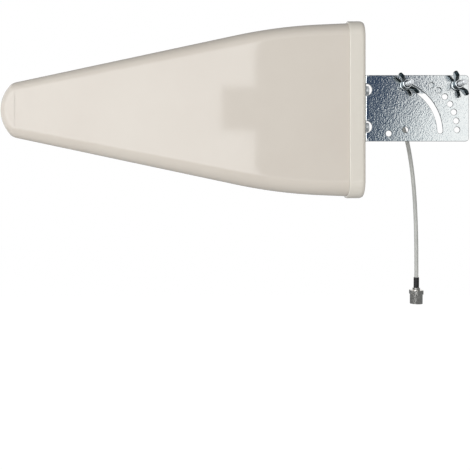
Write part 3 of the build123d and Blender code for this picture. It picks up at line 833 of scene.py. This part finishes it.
def makeUBolt(u):
    # The centre line runs down one leg, round half a circle and up the other leg. At each point of it a
    # circle of the rod's radius is drawn, less the depth of a blunt tooth that winds once round for each pitch
    half, tip = u["halfSpacing"], u["tipY"]
    legRun = u["bendY"] - tip
    bendEnd = legRun + pi * half
    threadRun = u["threadEndY"] - tip
    total = legRun + bendEnd
    threadRows = int(threadRun / u["pitch"] * u["rowsPerPitch"])
    ends = np.concatenate([u["domeRows"], np.linspace(0, threadRun, threadRows)[2:]])
    between = np.linspace(threadRun, total - threadRun, u["plainRows"])[1:-1]
    along = np.unique(np.round(np.concatenate([ends, between, total - ends]), decimals=5))
    onFirst, onLast = along < legRun, along > bendEnd
    turn = np.clip((along - legRun) / half, 0, pi)
    x = np.where(onFirst, -half, np.where(onLast, half, -half * np.cos(turn)))
    y = np.where(onLast, u["bendY"] - (along - bendEnd), u["bendY"] + half * np.sin(turn))
    y = np.where(onFirst, tip + along, y)
    outward = np.stack([-np.cos(turn), np.sin(turn)], axis=1)
    around = np.linspace(0, 2 * pi, u["columns"], endpoint=False)
    end = np.minimum(along, total - along)
    phase = (end[:, None] / u["pitch"] + around[None, :] / (2 * pi)) % 1
    tooth = np.clip(np.abs(phase * 2 - 1) * u["toothSlope"] - u["toothFlat"], 0, 1)
    fade = np.clip((threadRun - end) / u["pitch"], 0, 1)[:, None]
    nearTip = 1 - np.clip(end / u["dome"], 0, 1)
    dome = u["dome"] * (1 - np.sqrt(np.clip(1 - nearTip**2, 0, 1)))
    radius = u["rodRadius"] - u["threadDepth"] * (1 - tooth) * fade
    radius = np.minimum(radius, u["rodRadius"] - dome[:, None])
    sideways = radius * np.cos(around)
    ring = np.stack([x[:, None] + outward[:, None, 0] * sideways, y[:, None] + outward[:, None, 1] * sideways,
                     radius * np.sin(around)], axis=-1)
    ring = np.concatenate([drawnTogether(ring[:1]), ring, drawnTogether(ring[-1:])])
    made = gridMesh("clampUBolt", ring * mm, "bolt")
    tidyMesh(made, u["sharpAngle"])
    return made


clampUBolt = makeUBolt(uBolt)
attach(clampUBolt, "clamp_bolt")
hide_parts("u_bolt")
print("U-bolt made", len(clampUBolt.data.polygons))


# Wing nuts: a cast hub and two ears, grown together, in millimetres from the seat along the nut's axis

wingNut = {
    "seatY": -33.2,
    "hubBase": 6.5,
    "hubTop": 5.2,
    "hubHeight": 8.0,
    "hubColumns": 64,
    "rim": 0.5,
    "rimSteps": 8,
    "bore": 3.12,
    "boreRim": 0.5,
    "leastReach": 0.05,
    "span": 32.0,
    "height": 17.0,
    "foot": 1.2,
    "rootTop": 6.8,
    "tipShare": 0.5,
    "topShare": 0.6,
    "rootThickness": 5.0,
    "tipThickness": 4.0,
    "thinning": 1.0,
    "thinnest": 0.02,
    "corner": 3.5,
    "upPower": 0.5,
    "widePower": 0.6,
    "rootFrom": 0.08,
    "tipCrowding": 1.6,
    "voxel": 0.28,
    "softening": 0.5,
    "softRounds": 3,
    "rows": 40,
    "columns": 48,
    # the next three numbers place the painted highlight round the hub's upper rim
    "highlightIn": 0.6,
    "highlightSpread": 0.55,
    "highlightBelow": 1.2,
    "merge": 1e-7,
    "nuts": (  # piece, node, body, x, and the angle of the ears in degrees
        ("wingNutLeft", "wing_nut_left", "left_nut", -30.5, -46.5),
        ("wingNutRight", "wing_nut_right", "right_nut", 30.5, -62.4),
    ),
}


def earBounds(w, out):
    # The lower and upper edge of an ear at each distance out from the axis: two straight lines, with the
    # outer corners rounded by the drop of a circle
    tip = w["span"] / 2
    low = np.interp(out, [w["hubBase"], tip], [w["foot"], w["height"] * w["tipShare"]])
    high = np.interp(out, [w["hubTop"], tip * w["topShare"]], [w["rootTop"], w["height"]])
    near = np.clip((out - (tip - w["corner"])) / w["corner"], 0, 1)
    drop = w["corner"] * (1 - np.sqrt(1 - near**2))
    return low + drop, high - drop


def makeEar(w, side):
    # Across each slice of the ear runs a squared-off oval: half the height times cos t to the power 0.5 and
    # half the thickness times sin t to the power 0.6, which thins out by a square root at the tip
    tip = w["span"] / 2
    out = tip * (1 - (1 - np.linspace(w["rootFrom"], 1, w["rows"])) ** w["tipCrowding"])
    low, high = earBounds(w, out)
    thick = np.interp(out, [w["hubTop"], tip], [w["rootThickness"], w["tipThickness"]])
    thick = thick * np.sqrt(np.clip((tip - out) / w["thinning"], w["thinnest"], 1))
    t = np.linspace(0, 2 * pi, w["columns"], endpoint=False)
    up = np.sign(np.cos(t)) * np.abs(np.cos(t)) ** w["upPower"]
    wide = np.sign(np.sin(t)) * np.abs(np.sin(t)) ** w["widePower"]
    rise = (low + high)[:, None] / 2 + (high - low)[:, None] / 2 * up
    across = thick[:, None] / 2 * wide
    ring = np.stack([side * np.repeat(out[:, None], len(t), axis=1), across, rise], axis=-1)
    return np.concatenate([drawnTogether(ring[:1]), ring, drawnTogether(ring[-1:])])


def makeHub(w):
    # A profile of radius and height, turned about the nut's axis: base, tapered side, rounded rim and top
    bend = np.linspace(0, pi / 2, w["rimSteps"])
    rim, top, base, upper = w["rim"], w["hubHeight"], w["hubBase"] - w["rim"], w["hubTop"] - w["rim"]
    profile = [(0, 0), (base, 0)]
    profile += [(base + rim * sin(b), rim - rim * cos(b)) for b in bend]
    profile += [(upper + rim * cos(b), top - rim + rim * sin(b)) for b in bend]
    profile += [(w["bore"] + w["boreRim"], top), (0, top)]
    return turned(np.array(profile), columns=w["hubColumns"])


def makeWingNut(w, name, x, angle):
    hub = gridMesh(name, makeHub(w), "nut")
    ears = [gridMesh(name + "Ear", makeEar(w, side), "nut") for side in (-1, 1)]
    for part in (hub, *ears):
        tidyMesh(part)
    joinInto(hub, ears)
    grown = hub.modifiers.new("grown together", "REMESH")
    grown.mode = "VOXEL"
    grown.voxel_size = w["voxel"]
    soft = hub.modifiers.new("soft", "SMOOTH")
    soft.factor = w["softening"]
    soft.iterations = w["softRounds"]
    applyModifiers(hub)
    places = readPlaces(hub.data)
    # bore: every point inside the hole's radius is pushed out to the hole's wall
    reach = np.hypot(places[:, 0], places[:, 1])
    scale = np.where(reach < w["bore"], w["bore"] / np.maximum(reach, w["leastReach"]), 1)
    places[:, :2] *= scale[:, None]
    # painted highlight: a pale colour round the hub's upper rim, by exp(-t^2) at a distance t from it
    rimHighlight = np.exp(-((reach - w["hubTop"] + w["highlightIn"]) / w["highlightSpread"]) ** 2)
    rimHighlight = rimHighlight * (places[:, 2] > w["hubHeight"] - w["highlightBelow"])
    a = radians(angle)
    along, level, out = np.array([(cos(a), 0, sin(a)), (sin(a), 0, -cos(a)), (0, -1, 0)])
    seat = np.array([x, w["seatY"], 0])
    writePlaces(hub.data, (seat + places[:, :1] * along + places[:, 1:2] * level + places[:, 2:] * out) * mm)
    rimHighlightMask = hub.data.attributes.new("rimHighlightMask", "FLOAT", "POINT")
    rimHighlightMask.data.foreach_set("value", rimHighlight.astype(np.float32))
    tidyMesh(hub, merge=w["merge"])
    hub.data.materials.clear()
    hub.data.materials.append(finishes["nut"])
    return hub


for pieceName, nodeName, bodyName, nutX, nutAngle in wingNut["nuts"]:
    nutPiece = makeWingNut(wingNut, pieceName, nutX, nutAngle)
    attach(nutPiece, bodyName)
    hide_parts(nodeName)
    print("wing nut made", len(nutPiece.data.polygons))


# Hex bolts: chamfered heads with a small stamped dish, over a plain shank, in millimetres

hexBolt = {
    "seatX": -76.0,
    "y": -19.0,
    "places": ((-5.8, -14.0), (-49.8, -17.0)),  # height, and turn in degrees
    "flats": 10.0,
    "height": 4.0,
    "chamferShare": 0.94,
    "chamferSlope": 0.55,
    "crease": 0.05,
    "dishRadius": 3.4,
    "dishDepth": 0.35,
    "dishFlat": 0.8,
    "footRise": 0.35,
    "footIn": 0.3,
    "shankRadius": 3.0,
    "shankLength": 17.0,
    "tipChamfer": 0.6,
    "columns": 72,
    "sharpAngle": 22,
}


def makeHexBolts(h):
    # The head's outline is a hexagon: half the flats over the cosine of the angle from the nearest flat. The
    # top falls away outside a circle just inside the flats, so the six corners are cut by a cone
    t = np.linspace(0, 2 * pi, h["columns"], endpoint=False)
    half = h["flats"] / 2
    hexagon = half / np.cos((t + pi / 6) % (pi / 3) - pi / 6)
    crown = half * h["chamferShare"]
    edge = h["height"] - (hexagon - crown) * h["chamferSlope"]
    top, dish, crease = h["height"], h["dishRadius"], h["crease"]
    shank, depth, chamfer = h["shankRadius"], h["shankLength"], h["tipChamfer"]
    rings = [
        (0, top - h["dishDepth"]),
        (h["dishFlat"] * dish, top - h["dishDepth"]),
        (dish, top),
        (crown, top),
        (hexagon, edge),
        (hexagon - crease, edge - 2 * crease),
        (hexagon, edge - 4 * crease),
        (hexagon, h["footRise"]),
        (hexagon - h["footIn"], 0),
        (shank, 0),
        (shank, chamfer - depth),
        (shank - chamfer, -depth),
        (0, -depth),
    ]
    reach, rise = [np.array([ring[k] + 0 * t for ring in rings]) for k in (0, 1)]
    parts = []
    for z, turn in h["places"]:
        a = t + radians(turn)
        points = np.stack([h["seatX"] + rise, h["y"] + reach * np.cos(a), z + reach * np.sin(a)], axis=-1)
        parts.append(gridMesh("bracketBolts", points * mm, "bolt"))
        tidyMesh(parts[-1], h["sharpAngle"])
    joinInto(parts[0], parts[1:])
    return parts[0]


bracketBolts = makeHexBolts(hexBolt)
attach(bracketBolts, "antenna")
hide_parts("bracket_bolts")
print("hex bolts made", len(bracketBolts.data.polygons))


# Studio: a pale floor in a white room, two lamps in front and one behind, and cards that only gloss mirrors,
# in metres

studio = {
    "floorZ": -0.620,
    "floorSize": 8.0,
    "floorTone": 0.92,
    "shadowShare": 0.08,
    "glow": 1.06,
    "worldLight": 0.31,
    "lamps": {
        "frontLamp": {"at": (-1.40, -1.9, 0.20), "to": (-0.30, 0, -0.03), "size": (3.0, 1.7), "watts": 36,
                      "colour": (0.97, 1.0, 1.05), "mirrored": True},
        "sideLamp": {"at": (0.15, -2.0, 0.1), "to": (0.0, 0, -0.03), "size": (1.2, 1.6), "watts": 6,
                     "colour": (1.03, 0.98, 0.92), "mirrored": False},
        "backLamp": {"at": (-0.3, 2.0, 0.3), "to": (-0.25, 0, -0.03), "size": (2.4, 1.6), "watts": 26,
                     "colour": (1.0, 1.0, 1.0), "mirrored": False},
    },
    "cardTone": (0.045, 0.068, 0.115),
    "cardY": -1.35,
    "cardOutline": (
        (-0.350, 0.020), (-0.251, 0.020), (-0.251, -0.400), (0.260, -0.290), (0.260, 0.090), (0.345, 0.090),
        (0.345, 0.250), (0.260, 0.600), (-0.251, 0.600), (-0.251, 0.151), (-0.350, 0.151),
    ),
    "fadeTone": (0.52, 0.64, 0.66),
    "fadeX": (0.24, 0.35),
    "fadeZ": (-0.60, 0.90),
    "fadeY": -1.36,
    "flagTone": (0.20, 0.21, 0.22),
    "flags": {
        "flagAbove": ((-1.2, -0.25, 0.70), (0.7, -0.25, 0.70), (0.7, 1.6, 0.70), (-1.2, 1.6, 0.70)),
        "flagBelow": ((-1.2, -0.5, -0.295), (0.7, -0.5, -0.295), (0.7, 1.6, -0.295), (-1.2, 1.6, -0.295)),
        "flagRight": ((0.70, -0.9, -0.29), (0.70, 0.9, -0.29), (0.70, 0.9, 0.70), (0.70, -0.9, 0.70)),
    },
}
white = (1, 1, 1, 1)


def addLamp(name, lamp):
    data = bpy.data.lights.new(name, "AREA")
    data.shape = "RECTANGLE"
    data.size, data.size_y = lamp["size"]
    data.energy = lamp["watts"]
    data.color = lamp["colour"]
    made = addObject(name, data)
    made.location = lamp["at"]
    made.rotation_euler = (Vector(lamp["to"]) - Vector(lamp["at"])).to_track_quat("-Z", "Y").to_euler()
    made.visible_glossy = lamp["mirrored"]


def emptyMaterial(name):
    look = Nodes(bpy.data.materials.new(name))
    look.tree.nodes.clear()
    return look


def paleSurface(name, tone, shadowShare, strength):
    # White to the camera and in reflections, with part of the plain surface kept for its shadow
    look = emptyMaterial(name)
    matt = look.node("ShaderNodeBsdfDiffuse", Color=(tone, tone, tone, 1))
    glow = look.node("ShaderNodeEmission", Strength=strength)
    share = look.seenRays() * (1 - shadowShare)
    blend = look.node("ShaderNodeMixShader", _0=share, _1=matt.outputs[0], _2=glow.outputs[0])
    look.node("ShaderNodeOutputMaterial", Surface=blend.outputs[0])
    return look.owner


def plainGlow(name, tone):
    look = emptyMaterial(name)
    shine = look.node("ShaderNodeEmission", Color=(*tone, 1))
    look.node("ShaderNodeOutputMaterial", Surface=shine.outputs[0])
    return look.owner


def fadingGlow(name, tone, low, high):
    # From tone at x = low to white at x = high
    look = emptyMaterial(name)
    here = look.node("ShaderNodeTexCoord").outputs["Object"]
    share = (look.value("X", "ShaderNodeSeparateXYZ", Vector=here) - low) / (high - low)
    shine = look.node("ShaderNodeEmission", Color=look.mix(share, (*tone, 1), white))
    look.node("ShaderNodeOutputMaterial", Surface=shine.outputs[0])
    return look.owner


def flatSheet(name, corners, material):
    data = bpy.data.meshes.new(name)
    data.from_pydata(corners, [], [tuple(range(len(corners)))])
    data.materials.append(material)
    made = addObject(name, data)
    return made


def makeStudio(s):
    half, z = s["floorSize"] / 2, s["floorZ"]
    floor = paleSurface("pale floor", s["floorTone"], s["shadowShare"], s["glow"])
    flatSheet("floor", [(-half, -half, z), (half, -half, z), (half, half, z), (-half, half, z)], floor)
    (left, right), (low, high), y = s["fadeX"], s["fadeZ"], s["fadeY"]
    fading = [(left, y, low), (right, y, low), (right, y, high), (left, y, high)]
    card = [(x, s["cardY"], z) for x, z in s["cardOutline"]]
    flag = plainGlow("grey flag", s["flagTone"])
    panels = [
        ("darkCard", card, plainGlow("dark card", s["cardTone"])),
        ("fadingCard", fading, fadingGlow("fading card", s["fadeTone"], left, right)),
    ]
    panels += [(name, corners, flag) for name, corners in s["flags"].items()]
    for name, corners, material in panels:
        panel = flatSheet(name, corners, material)
        panel.visible_camera = panel.visible_diffuse = panel.visible_shadow = False
    for name, lamp in s["lamps"].items():
        addLamp(name, lamp)
    # the world is white to the camera and in reflections, and dimmer as a light
    world = Nodes(bpy.data.worlds.new("studio"))
    back = world.tree.nodes["Background"].inputs
    world.feed(back["Color"], white)
    world.feed(back["Strength"], world.seenRays() * (1 - s["worldLight"]) + s["worldLight"])
    bpy.context.scene.world = world.owner
    bpy.context.scene.view_settings.view_transform = "Standard"


makeStudio(studio)
print("studio set")
